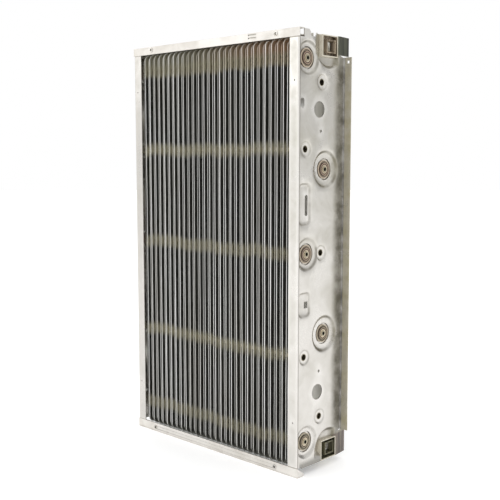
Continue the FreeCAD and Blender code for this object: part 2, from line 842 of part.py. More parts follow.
def ionizer_bar(place, label, turn):
    """A channel across the cell that carries the wires; turn is the side that is open."""
    body = new_body(label)
    left, low, right, high = box_sides(place, "Size.bar_width", "Size.bar_height",
                                       "Size.sleeve_shift")
    gauge = "Size.bar_gauge"
    sketch = new_sketch(body, "YZ_Plane")
    if turn > 0:
        corners = [(left, low), (right, low), (right, high), (f"{right} - {gauge}", high),
                   (f"{right} - {gauge}", f"{low} + {gauge}"),
                   (f"{left} + {gauge}", f"{low} + {gauge}"),
                   (f"{left} + {gauge}", high), (left, high)]
    else:
        corners = [(left, low), (f"{left} + {gauge}", low),
                   (f"{left} + {gauge}", f"{high} - {gauge}"),
                   (f"{right} - {gauge}", f"{high} - {gauge}"),
                   (f"{right} - {gauge}", low), (right, low), (right, high), (left, high)]
    outline(sketch, corners)
    across_pad(body, sketch, "Size.end_span - 2 * Size.bar_end_inset")


def wire_arms(label, corners):
    """Leaf springs that reach from a bar's rear face to the ends of the wires."""
    body = new_body(label, several=True)
    bind(body, {"Placement.Base.x": "-Size.wire_pitch * (Size.wire_count - 1) / 2"})
    sketch = new_sketch(body, "YZ_Plane")
    outline(sketch, corners)
    leaf = pad(body, sketch, "Size.arm_width", midplane=True)
    doc.recompute()
    repeat_across(body, [leaf], "Size.wire_pitch", "Size.wire_count")
    doc.recompute()


def bar_rear(place):
    return f"(Size.{place}_box_depth + Size.sleeve_shift + Size.bar_width / 2)"


def top_wire_arms():
    root = bar_rear("top")
    foot = "Size.top_box_height + Size.arm_foot"
    wire_arms("wire_springs_top", [
        (root, "Size.wire_top"),
        ("Size.wire_depth + Size.arm_tip", "Size.wire_top"),
        ("Size.wire_depth + Size.arm_tip", "Size.wire_top + Size.arm_gauge"),
        (f"{root} + Size.arm_gauge", "Size.wire_top + Size.arm_gauge"),
        (f"{root} + Size.arm_gauge", foot),
        (root, foot),
    ])


def bottom_wire_arms():
    root = bar_rear("base")
    foot = "Size.base_box_height - Size.arm_foot"
    wire_arms("wire_springs_bottom", [
        (root, foot),
        (f"{root} + Size.arm_gauge", foot),
        (f"{root} + Size.arm_gauge", "Size.wire_base - Size.arm_gauge"),
        ("Size.wire_depth + Size.arm_tip", "Size.wire_base - Size.arm_gauge"),
        ("Size.wire_depth + Size.arm_tip", "Size.wire_base"),
        (root, "Size.wire_base"),
    ])


def ionizer_wires():
    body = new_body("ionizer_wires", several=True)
    bind(body, {"Placement.Base.x": "-Size.wire_pitch * (Size.wire_count - 1) / 2"})
    sketch = new_sketch(body, "XY_Plane", "Size.wire_base")
    circle(sketch, ("0", "Size.wire_depth"), "Size.wire_radius")
    wire = pad(body, sketch, "Size.wire_top - Size.wire_base")
    doc.recompute()
    repeat_across(body, [wire], "Size.wire_pitch", "Size.wire_count")
    doc.recompute()


def ground_strips():
    """Blades between the wires, from the lower rear rail to the upper one."""
    body = new_body("ionizer_ground_strips", several=True)
    bind(body, {"Placement.Base.x": "-Size.wire_pitch * (Size.wire_count - 2) / 2"})
    sketch = new_sketch(body, "YZ_Plane")
    rectangle(sketch, "Size.strip_front", "Size.web_low + 1", "Size.strip_rear", "Size.web_high - 1")
    blade = pad(body, sketch, "Size.strip_gauge", midplane=True)
    doc.recompute()
    repeat_across(body, [blade], "Size.wire_pitch", "(Size.wire_count - 1)")
    doc.recompute()


def rear_rail(label, low, high):
    """A channel behind the strips, open towards the rear."""
    body = new_body(label)
    front = "Size.rear_rail_front"
    rear = "Size.rear_rail_rear"
    gauge = "Size.sheet_gauge"
    sketch = new_sketch(body, "YZ_Plane")
    outline(sketch, [
        (front, low),
        (rear, low),
        (rear, f"{low} + {gauge}"),
        (f"{front} + {gauge}", f"{low} + {gauge}"),
        (f"{front} + {gauge}", f"{high} - {gauge}"),
        (rear, f"{high} - {gauge}"),
        (rear, high),
        (front, high),
    ])
    across_pad(body, sketch, "Size.end_span - 2 * Size.rear_rail_end_inset")


# ---------------------------------------------------------------- the cell

def build():
    fill_sheet()
    mirror(end_plate_right(), "end_plate_left")
    top_rail()
    bottom_rail()
    top_baffle()
    bottom_liner()
    rail_eyelets("top_rail_eyelets", "Size.top_eyelet_height")
    rail_eyelets("bottom_rail_eyelets", "Size.base_eyelet_height")
    plate_stack("ground_plates", "Size.ground_front", "0",
                GROUND_SPOTS, "Size.ground_tube_radius",
                CHARGED_SPOTS, "Size.ground_clear_radius", "Size.ground_count")
    plate_stack("charged_plates", "Size.charged_front", "Size.charged_inset",
                CHARGED_SPOTS, "Size.charged_tube_radius",
                GROUND_SPOTS, "Size.charged_clear_radius", "(Size.ground_count + 1)")
    spacers("ground_spacers", GROUND_SPOTS,
            "Size.ground_tube_radius", "Size.ground_spacer_radius", "(Size.ground_count - 1)")
    spacers("charged_spacers", CHARGED_SPOTS,
            "Size.charged_tube_radius", "Size.charged_spacer_radius", "Size.ground_count")
    mirror(end_spacers_right(), "ground_end_spacers_left")
    for name, spot in CHARGED_SPOTS.items():
        tie_tube(f"charged_tube_{name}", spot, "Size.charged_tube_radius", "Size.charged_tube_bore",
                 "Size.end_span - 2 * Size.charged_tube_inset")
        ring_insulator(f"insulator_right_{name}", spot, 1)
        ring_insulator(f"insulator_left_{name}", spot, -1)
    for name, spot in GROUND_SPOTS.items():
        tie_tube(f"ground_tube_{name}", spot, "Size.ground_tube_radius", "Size.ground_tube_bore",
                 "Size.end_span - 2 * Size.tube_dish_depth")
    mirror(push_nuts_right(), "push_nuts_left")
    for place, name in (("top", "top"), ("base", "bottom")):
        moulding = ionizer_insulator(place, f"ionizer_insulator_{name}_right")
        mirror(moulding, f"ionizer_insulator_{name}_left")
    ionizer_bar("top", "ionizer_bar_top", 1)
    ionizer_bar("base", "ionizer_bar_bottom", -1)
    top_wire_arms()
    bottom_wire_arms()
    ionizer_wires()
    ground_strips()
    rear_rail("rear_rail_top", "Size.web_high - Size.rear_rail_tall", "Size.web_high")
    rear_rail("rear_rail_bottom", "Size.web_low", "Size.web_low + Size.rear_rail_tall")


def report_and_check():
    doc.recompute()
    for item in doc.Objects:
        if {"Invalid", "Error"} & set(item.State):
            raise RuntimeError(f"{item.Label} failed: {item.State}")
    for item in nodes:
        shape = item.Shape
        if shape.isNull() or not shape.isValid():
            raise RuntimeError(f"{item.Label} has no valid shape")
        box = shape.BoundBox
        print(f"{item.Label:34s} {len(shape.Solids):3d} solids "
              f"x {box.XMin:8.2f} {box.XMax:8.2f}  y {box.YMin:7.2f} {box.YMax:7.2f}  "
              f"z {box.ZMin:7.2f} {box.ZMax:7.2f}")


def write_steps():
    os.makedirs("parts", exist_ok=True)
    for item in nodes:
        item.Shape.exportStep(f"parts/{item.Label}.step")


build()
report_and_check()
write_steps()
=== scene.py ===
import json
import math

import bmesh
import bpy
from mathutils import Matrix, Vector, noise
from mathutils.geometry import delaunay_2d_cdt


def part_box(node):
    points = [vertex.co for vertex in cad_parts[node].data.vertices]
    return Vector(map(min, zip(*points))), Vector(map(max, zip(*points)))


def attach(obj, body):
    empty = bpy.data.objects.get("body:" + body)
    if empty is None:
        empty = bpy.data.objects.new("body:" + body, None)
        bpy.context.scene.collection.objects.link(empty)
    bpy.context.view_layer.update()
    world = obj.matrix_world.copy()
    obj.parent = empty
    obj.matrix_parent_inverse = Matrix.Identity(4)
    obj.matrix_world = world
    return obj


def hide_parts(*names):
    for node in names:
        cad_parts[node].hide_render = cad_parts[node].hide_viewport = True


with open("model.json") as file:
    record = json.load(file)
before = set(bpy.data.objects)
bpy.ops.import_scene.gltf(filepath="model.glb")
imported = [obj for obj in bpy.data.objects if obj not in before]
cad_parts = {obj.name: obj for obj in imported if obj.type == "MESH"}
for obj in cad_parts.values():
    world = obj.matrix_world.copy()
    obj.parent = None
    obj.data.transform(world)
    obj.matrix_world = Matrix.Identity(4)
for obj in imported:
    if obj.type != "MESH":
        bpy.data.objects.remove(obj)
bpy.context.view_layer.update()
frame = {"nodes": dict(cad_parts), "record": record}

# An electrostatic air cleaner cell: a stack of thin plates between two stamped end plates.
# Lengths are in metres in the row frame: X across the cell, Y to the rear, Z up.

nodes = frame["nodes"]
MM = 0.001

# The front face of the cell, and the outer face of the right end plate's flat web.
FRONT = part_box("top_rail")[0].y
FLANGE_REACH = 11.0 * MM
WEB_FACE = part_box("end_plate_right")[1].x - FLANGE_REACH


def spot(name):
    """Depth behind the front face and height of a node that runs across the cell."""
    low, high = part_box(name)
    centre = (low + high) / 2
    return (centre.y - FRONT, centre.z)


CHARGED_SPOTS = {name[len("charged_tube_"):]: spot(name)
                 for name in sorted(nodes) if name.startswith("charged_tube_")}
GROUND_SPOTS = {name[len("ground_tube_"):]: spot(name)
                for name in sorted(nodes) if name.startswith("ground_tube_")}
MID_HEIGHT = CHARGED_SPOTS["front_middle"][1]

# Hole radii. A plate grips the tubes of its own kind and clears those of the other kind.
GROUND_FIT = 4.3 * MM
GROUND_CLEARANCE = 6.9 * MM
CHARGED_FIT = 3.6 * MM
CHARGED_CLEARANCE = 10.0 * MM
INSULATOR_HOLE = 6.9 * MM


# ---------------------------------------------------------------- flat blanks

def circle_points(centre, radius, steps=56):
    turns = [2 * math.pi * k / steps for k in range(steps)]
    return [(centre[0] + radius * math.cos(a), centre[1] + radius * math.sin(a)) for a in turns]


def box_points(left, low, right, high):
    """A rectangle, anticlockwise from its lower left corner."""
    return [(left, low), (right, low), (right, high), (left, high)]


def round_box_points(left, low, right, high, radius, steps=6):
    """A rectangle with round corners, anticlockwise from its lower right one."""
    corners = [(right - radius, low + radius, -90), (right - radius, high - radius, 0),
               (left + radius, high - radius, 90), (left + radius, low + radius, 180)]
    points = []
    for depth, height, start in corners:
        for k in range(steps + 1):
            angle = math.radians(start + 90 * k / steps)
            points.append((depth + radius * math.cos(angle), height + radius * math.sin(angle)))
    return points


def inside(point, loop):
    """Whether a point of the blank lies inside a closed loop."""
    within = False
    for (ax, ay), (bx, by) in zip(loop, loop[1:] + loop[:1]):
        if (ay > point[1]) != (by > point[1]):
            if point[0] < ax + (point[1] - ay) * (bx - ax) / (by - ay):
                within = not within
    return within


SAME_POINT = 0.02 * MM


def triangulate(outline, holes, loops=(), lines=(), loose=()):
    """Points and triangles of a flat blank with holes. Loops and lines become edges in it."""
    points = []
    edges = []
    for loop in [outline, *holes, *loops]:
        start = len(points)
        points.extend(loop)
        edges.extend((start + k, start + (k + 1) % len(loop)) for k in range(len(loop)))
    for line in lines:
        start = len(points)
        points.extend(line)
        edges.extend((start + k, start + k + 1) for k in range(len(line) - 1))
    points.extend(loose)
    made, _, faces, *_ = delaunay_2d_cdt([Vector(p) for p in points], edges, [], 0, SAME_POINT)
    kept = []
    for face in faces:
        middle = sum((made[k] for k in face), Vector((0, 0))) / len(face)
        if inside(middle, outline) and not any(inside(middle, hole) for hole in holes):
            kept.append(tuple(face))
    used = sorted({k for face in kept for k in face})
    place = {old: new for new, old in enumerate(used)}
    return ([(made[k].x, made[k].y) for k in used],
            [tuple(place[k] for k in face) for face in kept])


def add_sheet(bm, front, back, faces):
    """Adds a closed sheet to bm: front and back are matching lists of places."""
    upper = [bm.verts.new(p) for p in front]
    lower = [bm.verts.new(p) for p in back]
    rim = {}    # edges that only one triangle has, in a fixed order
    for face in faces:
        bm.faces.new([upper[k] for k in face])
        bm.faces.new([lower[k] for k in reversed(face)])
        for a, b in zip(face, face[1:] + face[:1]):
            if (b, a) in rim:
                del rim[(b, a)]
            else:
                rim[(a, b)] = True
    for a, b in rim:
        bm.faces.new([upper[b], upper[a], lower[a], lower[b]])


def link(name, data):
    """A new object in the scene."""
    item = bpy.data.objects.new(name, data)
    bpy.context.scene.collection.objects.link(item)
    return item


def finish_mesh(bm, name, sharp_angle):
    """A smooth-shaded object from bm, with edges sharper than an angle in degrees kept sharp."""
    bmesh.ops.recalc_face_normals(bm, faces=bm.faces)
    mesh = bpy.data.meshes.new(name)
    bm.to_mesh(mesh)
    bm.free()
    mesh.polygons.foreach_set("use_smooth", [True] * len(mesh.polygons))
    mesh.set_sharp_from_angle(angle=math.radians(sharp_angle))
    return link(name, mesh)


def store(piece, name, shares):
    """Keeps one number for each vertex, for a material to read."""
    made = piece.data.attributes.new(name, "FLOAT", "POINT")
    made.data.foreach_set("value", shares)


def stand_for(piece, slot, node):
    """Makes a new piece ride on the cell in place of a CAD node."""
    piece.data.materials.append(MATERIALS[slot])
    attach(piece, "root")
    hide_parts(node)


# ---------------------------------------------------------------- shader helpers

def set_range(node, low, high, start, end):
    """Fills in a map range node: from low..high to start..end."""
    for key, value in (("From Min", low), ("From Max", high),
                       ("To Min", start), ("To Max", end)):
        node.inputs[key].default_value = value


class Shader:
    """A material with one Principled shader and short calls for the nodes that feed it."""

    # The mix node has sockets for every kind of data. These are its colours and its result.
    MIX_A, MIX_B, MIX_RESULT = 6, 7, 2

    def __init__(self, name, **inputs):
        self.material = bpy.data.materials.new(name)
        self.material.use_nodes = True
        self.tree = self.material.node_tree
        self.shader = self.tree.nodes["Principled BSDF"]
        for key, value in inputs.items():
            self.shader.inputs[key.replace("_", " ")].default_value = value
        self.place = self.node("ShaderNodeTexCoord").outputs["Object"]

    def node(self, kind, **settings):
        made = self.tree.nodes.new(kind)
        for key, value in settings.items():
            setattr(made, key, value)
        return made

    def wire(self, source, target):
        """Feeds target from another node's output, or from a plain number or colour."""
        if isinstance(source, (int, float)):
            target.default_value = source
        elif isinstance(source, tuple):
            target.default_value = (*source, 1.0) if len(source) == 3 else source
        else:
            self.tree.links.new(source, target)

    def stretched(self, scale):
        """The row-frame place, scaled differently along X, Y and Z."""
        mapping = self.node("ShaderNodeMapping")
        self.wire(self.place, mapping.inputs["Vector"])
        mapping.inputs["Scale"].default_value = scale
        return mapping.outputs["Vector"]

    def noise(self, scale, detail=4.0, roughness=0.55, stretch=None, distortion=0.0):
        made = self.node("ShaderNodeTexNoise")
        self.wire(self.stretched(stretch) if stretch else self.place, made.inputs["Vector"])
        made.inputs["Scale"].default_value = scale
        made.inputs["Detail"].default_value = detail
        made.inputs["Roughness"].default_value = roughness
        made.inputs["Distortion"].default_value = distortion
        return made.outputs["Fac"]

    def cells(self, scale):
        """Distance from the middle of the nearest of many scattered cells."""
        made = self.node("ShaderNodeTexVoronoi")
        self.wire(self.place, made.inputs["Vector"])
        made.inputs["Scale"].default_value = scale
        return made.outputs["Distance"]

    def ramp(self, source, low, high, start=0.0, end=1.0):
        """Source mapped from low..high to start..end, smoothly and clamped."""
        made = self.node("ShaderNodeMapRange", interpolation_type="SMOOTHSTEP")
        self.wire(source, made.inputs["Value"])
        set_range(made, low, high, start, end)
        return made.outputs["Result"]

    def maths(self, operation, a, b=0.0):
        made = self.node("ShaderNodeMath", operation=operation)
        self.wire(a, made.inputs[0])
        self.wire(b, made.inputs[1])
        return made.outputs[0]

    def times(self, a, b):
        return self.maths("MULTIPLY", a, b)

    def rest_of(self, share):
        """1 minus a share."""
        return self.maths("SUBTRACT", 1.0, share)

    def axis(self, name):
        """The place along X, Y or Z of the row frame."""
        split = self.node("ShaderNodeSeparateXYZ")
        self.wire(self.place, split.inputs[0])
        return split.outputs[name]

    def behind(self, start, end, low=0.0, high=1.0):
        """Low to high from one depth behind the front face to another."""
        return self.ramp(self.axis("Y"), FRONT + start, FRONT + end, low, high)

    def blend(self, share, a, b):
        """Colour a where share is 0, colour b where it is 1."""
        made = self.node("ShaderNodeMix", data_type="RGBA", blend_type="MIX")
        self.wire(share, made.inputs["Factor"])
        self.wire(a, made.inputs[self.MIX_A])
        self.wire(b, made.inputs[self.MIX_B])
        return made.outputs[self.MIX_RESULT]

    def occlusion_shade(self, distance, low, high):
        """A share that rises where other surfaces stand close, for painting shade there."""
        made = self.node("ShaderNodeAmbientOcclusion", samples=6)
        made.inputs["Distance"].default_value = distance
        return self.ramp(made.outputs["AO"], low, high, 1.0, 0.0)

    def between(self, axis, low, high, soft):
        """A share that is 1 from low to high along an axis and fades over soft outside."""
        place = self.axis(axis)
        rise = self.ramp(place, low - soft, low)
        return self.times(rise, self.ramp(place, high, high + soft, 1.0, 0.0))

    def from_axis(self, spots):
        """Distance from the nearest of several axes that run across the cell."""
        nearest = 1.0
        for depth, height in spots:
            across = self.maths("SUBTRACT", self.axis("Y"), FRONT + depth)
            up = self.maths("SUBTRACT", self.axis("Z"), height)
            square = self.maths("ADD", self.times(across, across), self.times(up, up))
            nearest = self.maths("MINIMUM", nearest, self.maths("SQRT", square))
        return nearest

    def attribute(self, name):
        """A number that the mesh keeps for each vertex."""
        return self.node("ShaderNodeAttribute", attribute_name=name).outputs["Fac"]

    def curvature_share(self, low, high, most=1.0):
        """A share that rises on convex edges, or in hollows where low is above high."""
        geometry = self.node("ShaderNodeNewGeometry")
        return self.ramp(geometry.outputs["Pointiness"], low, high, 0, most)

    def colour(self, source):
        self.wire(source, self.shader.inputs["Base Color"])

    def roughness(self, source):
        self.wire(source, self.shader.inputs["Roughness"])

    def bump(self, source, strength, distance):
        """Adds a bump to the shader's normal, on top of earlier ones."""
        made = self.node("ShaderNodeBump")
        made.inputs["Strength"].default_value = strength
        made.inputs["Distance"].default_value = distance
        self.wire(source, made.inputs["Height"])
        previous = self.shader.inputs["Normal"]
        if previous.is_linked:
            self.wire(previous.links[0].from_socket, made.inputs["Normal"])
        self.wire(made.outputs["Normal"], previous)


# ---------------------------------------------------------------- materials

ALUMINIUM = (0.70, 0.68, 0.637)
STAINED = (0.57, 0.55, 0.49)
# Dark grime for specks, also painted as shade in corners, hollows and along rail joints.
GRIME_AND_SHADE = (0.20, 0.17, 0.12)


def sheet_metal(name, clean, stained, shine, streaks=(1, 1, 9), marks_and_shade=None):
    """Mill-finish aluminium: rolling lines, cloudy oxide, specks of grime and painted shade in the
    corners.
    """
    look = Shader(name, Metallic=1.0)
    clouds = look.noise(26, detail=6, roughness=0.62, distortion=0.4)
    blotches = look.noise(75, detail=5, roughness=0.7)
    rolling = look.noise(420, detail=2, stretch=streaks)
    base = look.blend(look.ramp(clouds, 0.38, 0.72), clean, stained)
    base = look.blend(look.ramp(blotches, 0.56, 0.74, 0, 0.55), base, stained)
    specks = look.ramp(look.cells(260), 0.10, 0.02, 0, 0.7)
    patches = look.ramp(look.noise(14, detail=2), 0.52, 0.66)
    base = look.blend(look.times(specks, patches), base, GRIME_AND_SHADE)
    ragged = look.ramp(look.noise(60, detail=5), 0.3, 0.7, 0.55, 1.0)
    # Painted shade in corners where other surfaces stand close, broken up by ragged noise.
    corner_shade = look.times(look.occlusion_shade(6 * MM, 0.25, 0.8), ragged)
    base = look.blend(look.times(corner_shade, 0.7), base, GRIME_AND_SHADE)
    if marks_and_shade:
        base = marks_and_shade(look, base, ragged)
    look.colour(base)
    rough = look.ramp(clouds, 0.3, 0.75, shine - 0.05, shine + 0.12)
    look.roughness(look.maths("ADD", rough, look.ramp(rolling, 0.2, 0.8, -0.03, 0.05)))
    look.bump(rolling, 0.12, 0.08 * MM)
    look.bump(blotches, 0.15, 0.15 * MM)
    return look.material


def end_plate_dirt_and_shade(look, base, ragged):
    """Marks laid over an end plate's sheet metal from the front back: an olive film, dark streaks,
    and much painted highlight and painted shade.
    """
    # Painted highlight on convex edges and painted shade in hollows, both read from pointiness.
    base = look.blend(look.curvature_share(0.505, 0.56, 0.6), base, (0.90, 0.88, 0.84))
    base = look.blend(look.curvature_share(0.492, 0.44, 0.75), base, GRIME_AND_SHADE)
    # Towards the bottom, half way to an even pale tone.
    paler_below = look.ramp(look.axis("Z"), 420 * MM, 60 * MM, 0, 0.5)
    base = look.blend(paler_below, base, (0.70, 0.675, 0.645))
    # Painted shade on the walls of the deeper dishes, broken into arcs.
    arcs = look.ramp(look.noise(38, detail=2), 0.42, 0.60, 0.35, 1.0)
    pressed = look.times(look.times(look.attribute("pressed"), ragged), arcs)
    base = look.blend(pressed, base, (0.17, 0.155, 0.125))
    base = flange_film_and_shade(look, base, ragged)
    base = lip_marks(look, base)
    # Darker towards the bottom edge, behind the lip.
    foot = look.ramp(look.axis("Z"), 21 * MM, 12 * MM, 0, 0.85)
    past_lip = look.behind(3 * MM, 7 * MM)
    base = look.blend(look.times(foot, past_lip), base, (0.27, 0.26, 0.235))
    return tab_streaks(look, base)


def flange_film_and_shade(look, base, ragged):
    """An olive film on the guide flange, partly real and partly a painted dark reflection, and
    painted shade on the strip before it, darkest in the bend's crease.
    """
    sideways = look.maths("ABSOLUTE", look.axis("X"))
    outwards = look.ramp(sideways, WEB_FACE + 1.2 * MM, WEB_FACE + 2.4 * MM)
    # The darker colour is painted shade on the strip before the flange; the paler one is the
    # flange's film with a painted dark reflection.
    olive = look.blend(outwards, (0.165, 0.145, 0.085), (0.385, 0.345, 0.22))
    # Painted shade in the crease of the bend.
    bend = look.ramp(sideways, WEB_FACE - 0.4 * MM, WEB_FACE + 0.2 * MM)
    crease = look.times(bend, look.rest_of(outwards))
    olive = look.blend(crease, olive, (0.035, 0.03, 0.02))
    # Share of film and painted shade from the strip back, where the metal also turns less
    # metallic.
    film = look.times(look.behind(61 * MM, 74 * MM, 0, 0.92), ragged)
    look.wire(look.ramp(film, 0, 1, 1.0, 0.2), look.shader.inputs["Metallic"])
    return look.blend(film, base, olive)


def lip_marks(look, base):
    """Painted shadow lines where the rails lap the front lip, painted shade on the left lip, a
    line at its bend.
    """
    lip = look.behind(1.3 * MM, 1.1 * MM)
    # A painted shadow line along each rail's edge where it laps the lip.
    for rail, edge in (("top_rail", 0), ("bottom_rail", 1)):
        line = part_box(rail)[edge].z
        joint = look.between("Z", line - 0.7 * MM, line + 0.7 * MM, 0.4 * MM)
        base = look.blend(look.times(lip, look.times(joint, 0.75)), base, GRIME_AND_SHADE)
    # Painted shade on the left lip, deeper further left.
    muted = look.ramp(look.axis("X"), 0.0, -100 * MM, 0, 0.5)
    base = look.blend(look.times(lip, muted), base, (0.50, 0.48, 0.45))
    fold_line = look.between("Y", FRONT + 1.4 * MM, FRONT + 2.5 * MM, 0.4 * MM)
    return look.blend(look.times(fold_line, 0.7), base, (0.27, 0.245, 0.225))


LOW_TAB_TOP = 39 * MM
HIGH_TAB_BASE = 498 * MM


def tab_streaks(look, base):
    """Dark upright runs on the two end tabs, behind the square insulators."""
    runs = look.ramp(look.noise(300, detail=3, stretch=(1, 1, 0.03)), 0.42, 0.58)
    moulding_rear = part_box("ionizer_insulator_top_right")[1].y
    behind = look.ramp(look.axis("Y"), moulding_rear - 0.3 * MM, moulding_rear + 0.8 * MM)
    outside = look.rest_of(look.between("Z", LOW_TAB_TOP, HIGH_TAB_BASE, 3 * MM))
    upper = look.ramp(look.axis("Z"), 200 * MM, 400 * MM)
    dark = look.blend(upper, (0.032, 0.024, 0.018), (0.022, 0.026, 0.018))
    pale = look.blend(upper, (0.16, 0.125, 0.10), (0.075, 0.080, 0.055))
    tab = look.times(look.times(behind, outside), 0.93)
    return look.blend(tab, base, look.blend(runs, dark, pale))


# Radii of the insulator's grooves, painted dark as shade.
INSULATOR_GROOVES = (5.9 * MM, 7.6 * MM, 9.2 * MM)


def ring_plastic():
    """Brown ribbed insulator, dusty olive lower down, with paler rims, and painted shade in its
    crevices and grooves.
    """
    look = Shader("ring_insulator_plastic", Metallic=0.0)
    mottling = look.noise(180, detail=5, roughness=0.65)
    lower = look.ramp(look.axis("Z"), 60 * MM, 330 * MM, 1.0, 0.0)
    body = look.blend(lower, (0.29, 0.19, 0.13), (0.225, 0.205, 0.125))
    base = look.blend(look.ramp(mottling, 0.35, 0.7, 0, 0.4), body, (0.40, 0.31, 0.23))
    radius = look.from_axis(CHARGED_SPOTS.values())
    rim = look.ramp(radius, 7.5 * MM, 8.1 * MM, 0, 0.7)
    base = look.blend(rim, base, look.blend(lower, (0.46, 0.40, 0.29), (0.40, 0.385, 0.27)))
    base = look.blend(look.curvature_share(0.53, 0.66), base, (0.56, 0.46, 0.36))
    # Painted shade in crevices where other surfaces stand close.
    base = look.blend(look.occlusion_shade(1.4 * MM, 0.55, 0.97), base, (0.055, 0.035, 0.025))
    # Painted shade in the grooves, as dark rings.
    for groove in INSULATOR_GROOVES:
        off = look.maths("ABSOLUTE", look.maths("SUBTRACT", radius, groove))
        base = look.blend(look.ramp(off, 0.55 * MM, 0.2 * MM, 0, 0.8), base, (0.06, 0.04, 0.03))
    look.colour(base)
    look.roughness(look.ramp(mottling, 0.3, 0.7, 0.45, 0.62))
    look.bump(mottling, 0.2, 0.1 * MM)
    return look.material


# A square insulator's rim is cream. The rest, inside its walls and below its rim, is painted dark
# as shade in its hollow.
MOULDING_WALL = 0.9 * MM
MOULDING_RIM = 0.7 * MM
MOULDING_DEPTH = 40 * MM


def square_plastic():
    """Cream moulding, painted dark inside as shade in its hollow, pinkish brown to olive black,
    with upright streaks.
    """
    look = Shader("square_insulator_plastic", Metallic=0.0)
    mottling = look.noise(140, detail=5, roughness=0.65)
    rim = look.blend(look.ramp(mottling, 0.35, 0.7), (0.66, 0.62, 0.52), (0.55, 0.50, 0.40))
    runs = look.noise(210, detail=3, stretch=(1, 1, 0.08))
    upper = look.ramp(look.axis("Z"), 200 * MM, 400 * MM)
    dark = look.blend(upper, (0.040, 0.036, 0.018), (0.105, 0.075, 0.045))
    pale = look.blend(upper, (0.14, 0.13, 0.075), (0.36, 0.29, 0.205))
    inner = look.blend(look.ramp(runs, 0.42, 0.62), dark, pale)
    right = look.between("X", WEB_FACE - MOULDING_DEPTH, WEB_FACE - MOULDING_RIM, 0.3 * MM)
    left = look.between("X", MOULDING_RIM - WEB_FACE, MOULDING_DEPTH - WEB_FACE, 0.3 * MM)
    sunk = look.maths("MAXIMUM", right, left)
    walled = 0.0
    for name in ("top", "bottom"):
        low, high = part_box(f"ionizer_insulator_{name}_right")
        within = look.times(
            look.between("Y", low.y + MOULDING_WALL, high.y - MOULDING_WALL, 0.2 * MM),
            look.between("Z", low.z + MOULDING_WALL, high.z - MOULDING_WALL, 0.2 * MM))
        walled = look.maths("MAXIMUM", walled, within)
    # Painted shade inside the hollow moulding, streaked.
    look.colour(look.blend(look.times(sunk, walled), rim, inner))
    look.roughness(look.ramp(mottling, 0.3, 0.7, 0.42, 0.62))
    look.bump(runs, 0.3, 0.12 * MM)
    look.bump(mottling, 0.2, 0.1 * MM)
    return look.material


def bright_steel(name, colour, shade, rough=0.25):
    """Small steel parts: a little stained, with painted shade where they touch others."""
    look = Shader(name, Metallic=1.0)
    stain = look.noise(300, detail=4)
    base = look.blend(look.ramp(stain, 0.4, 0.7), colour, shade)
    # Painted shade where other surfaces stand close.
    base = look.blend(look.occlusion_shade(2 * MM, 0.2, 0.7), base, (0.05, 0.04, 0.03))
    look.colour(base)
    look.roughness(look.ramp(stain, 0.3, 0.7, rough, rough + 0.15))
    look.bump(look.noise(1500, detail=2), 0.1, 0.03 * MM)
    return look.material


# How far the painted light hangs down from the plates' top edge, and how far from a tube's axis
# the painted reflection of the tube is full and gone.
TOP_LIGHT_DROP = 29 * MM
TUBE_BAND = (3 * MM, 12 * MM)


def plate_metal():
    """Thin smooth plate: pale hems as painted highlight, faces darkened as painted shade of the
    gaps, a painted band of light along the top, painted reflections of the tubes.
    """
    look = Shader("plate_metal")
    film = look.noise(40, detail=5, roughness=0.6, stretch=(1, 1, 0.3))
    cloudy = look.ramp(film, 0.35, 0.7)
    # The dark face colour is painted shade of the deep gaps between plates; the pale hem colour is
    # painted highlight.
    flat = look.blend(cloudy, (0.22, 0.22, 0.20), (0.155, 0.15, 0.125))
    pale = look.blend(cloudy, (0.98, 0.98, 0.96), (0.90, 0.89, 0.85))
    hem = look.attribute("hem")
    base = look.blend(hem, flat, pale)
    bare = look.rest_of(look.times(hem, 0.6))
    wavy = look.ramp(look.noise(30, detail=3, stretch=(1, 1, 0.1)), 0.3, 0.7, -2 * MM, 2 * MM)
    height = look.maths("ADD", look.axis("Z"), wavy)
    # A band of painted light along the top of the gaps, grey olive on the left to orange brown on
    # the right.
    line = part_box("ground_plates")[1].z - TOP_LIGHT_DROP
    top = look.ramp(height, line - 5 * MM, line + 5 * MM)
    across = look.ramp(look.axis("X"), -60 * MM, 120 * MM)
    top_light = look.blend(across, (0.34, 0.32, 0.23), (0.46, 0.30, 0.18))
    base = look.blend(look.times(look.times(top, 0.85), bare), base, top_light)
    # Painted reflections of the front tubes, as pale bands at their heights.
    near = 0.0
    full, gone = TUBE_BAND
    for name, (_, place) in {**CHARGED_SPOTS, **GROUND_SPOTS}.items():
        if name.startswith("front"):
            below = look.ramp(height, place - gone, place - full)
            above = look.ramp(height, place + full, place + gone, 1.0, 0.0)
            near = look.maths("MAXIMUM", near, look.times(below, above))
    share = look.times(look.times(near, 0.85), bare)
    look.colour(look.blend(share, base, (0.42, 0.39, 0.28)))
    muted = look.maths("MAXIMUM", top, look.times(near, 0.9))
    bright = look.ramp(hem, 0, 0.5, 0.85, 1.0)
    look.wire(look.times(bright, look.ramp(muted, 0, 1, 1.0, 0.3)),
              look.shader.inputs["Metallic"])
    rough = look.ramp(film, 0.3, 0.7, 0.26, 0.36)
    rough = look.maths("ADD", rough, look.times(hem, 0.08))
    look.roughness(look.maths("ADD", rough, look.times(muted, 0.35)))
    look.bump(look.noise(60, detail=2, stretch=(1, 1, 0.2)), 0.15, 0.3 * MM)
    return look.material


def floor_paper():
    """White paper that glows a little, so that it stays as pale as the photo's ground."""
    look = Shader("floor_paper", Metallic=0.0, Roughness=0.9, Emission_Strength=0.26)
    look.shader.inputs["Emission Color"].default_value = (1.0, 1.0, 1.0, 1.0)
    look.colour(look.blend(look.noise(3, detail=3), (0.95, 0.95, 0.95), (0.93, 0.93, 0.93)))
    return look.material


